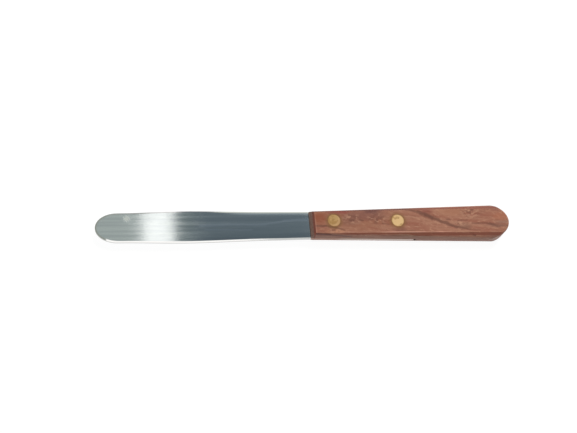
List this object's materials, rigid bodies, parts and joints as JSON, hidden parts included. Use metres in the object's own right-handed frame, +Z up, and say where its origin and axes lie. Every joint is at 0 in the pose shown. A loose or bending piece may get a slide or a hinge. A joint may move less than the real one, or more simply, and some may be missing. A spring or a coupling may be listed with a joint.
{
  "type": "lab spatula",
  "caption": "Flat flexible steel blade with a round tip, riveted through its tang into a slim bevelled hardwood handle with a round butt.",
  "frame": {"origin": "on the surface that the spatula lies on, under the middle of its length and width", "axes": "+X along the spatula from the blade's tip to the handle's butt, +Y across the blade, +Z up from the lower flat of the handle"},
  "size_m": [0.2022, 0.0182, 0.0085],
  "materials": {
    "steel": "ground and lightly worn, bright along its edge",
    "hardwood": "red-brown hardwood, smooth and lightly oiled, worn along its creases",
    "rivet_brass": "ground flush and dulled by use"
  },
  "bodies": {
    "root": {"blade": "steel", "handle": "hardwood", "rivet_front_male": "rivet_brass", "rivet_front_female": "rivet_brass", "rivet_rear_male": "rivet_brass", "rivet_rear_female": "rivet_brass"}
  },
  "joints": []
}
